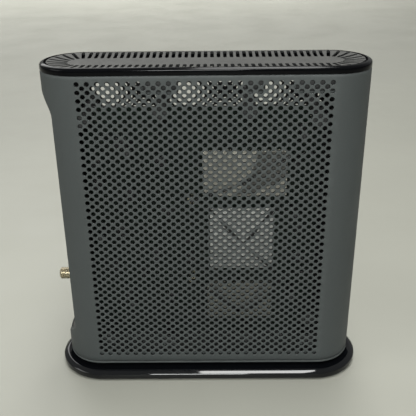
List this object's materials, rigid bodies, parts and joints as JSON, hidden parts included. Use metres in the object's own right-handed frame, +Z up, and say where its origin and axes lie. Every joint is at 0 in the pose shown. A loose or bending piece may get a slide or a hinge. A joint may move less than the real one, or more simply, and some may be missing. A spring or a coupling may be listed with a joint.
{
  "type": "cable gateway",
  "caption": "Tower cable gateway: vented slab casing with round ends, dished top grille, rear coax, network, phone and power jacks, push buttons and a gloss plinth.",
  "frame": {"origin": "centre of the footprint, on the plane of the rubber feet's undersides", "axes": "+Z up, +X towards the front edge, -X towards the rear edge with the jacks, -Y towards the near vented side"},
  "size_m": [0.2442, 0.0746, 0.2496],
  "materials": {
    "casing": "matte blue-grey moulded plastic, fine grain",
    "rim": "gloss black",
    "grille": "textured dark grey",
    "plinth": "high-gloss black",
    "panel": "satin black",
    "foot": "matte black",
    "board": "dark green solder mask",
    "shield": "satin tin-plated sheet",
    "spreader": "bright brushed",
    "heatsink": "satin extruded",
    "chip": "moulded black",
    "nickel": "warm nickel plate",
    "insulator": "off-white",
    "jack": "moulded black",
    "button": "satin dark grey",
    "lens": "milky white",
    "steel": "zinc plated",
    "cable": "matte black jacket"
  },
  "bodies": {
    "casing": {"antenna_board_lower": "board", "antenna_board_upper": "board", "antenna_lead_lower": "cable", "antenna_lead_upper": "cable", "antenna_socket_lower": "nickel", "antenna_socket_upper": "nickel", "base_plinth": "plinth", "board_screw_1": "steel", "board_screw_2": "steel", "board_screw_3": "steel", "board_screw_4": "steel", "board_screw_5": "steel", "board_screw_6": "steel", "bottom_cover": "casing", "coax_connector": "nickel", "coax_insulator": "insulator", "coax_nut": "nickel", "ethernet_jack_1": "jack", "ethernet_jack_2": "jack", "ethernet_jack_3": "jack", "ethernet_jack_4": "jack", "far_side_shell": "casing", "finned_heatsink": "heatsink", "front_light_lens": "lens", "heat_spreader": "spreader", "led_board": "board", "lower_shield_can": "shield", "main_board": "board", "main_chip": "chip", "near_side_shell": "casing", "pair_switch": "chip", "phone_jack_1": "jack", "phone_jack_2": "jack", "plinth_screw_front": "steel", "plinth_screw_rear": "steel", "power_inlet": "jack", "rear_io_panel": "panel", "reset_switch": "chip", "rubber_foot_1": "foot", "rubber_foot_2": "foot", "rubber_foot_3": "foot", "rubber_foot_4": "foot", "spreader_clip": "steel", "top_rim_ring": "rim", "top_vent_grille": "grille", "tuner_can": "shield", "upper_shield_can": "shield"},
    "pair_button_body": {"pair_button": "button"},
    "reset_button_body": {"reset_button": "button"}
  },
  "joints": [
    {"name": "pair_button_press", "type": "slide", "parent": "casing", "child": "pair_button_body", "axis": [1, 0, 0], "range_m": [0, 0.001], "stiffness_N_per_m": 900, "springref_m": -0.0005},
    {"name": "reset_button_press", "type": "slide", "parent": "casing", "child": "reset_button_body", "axis": [1, 0, 0], "range_m": [0, 0.0008], "stiffness_N_per_m": 900, "springref_m": -0.0005}
  ]
}
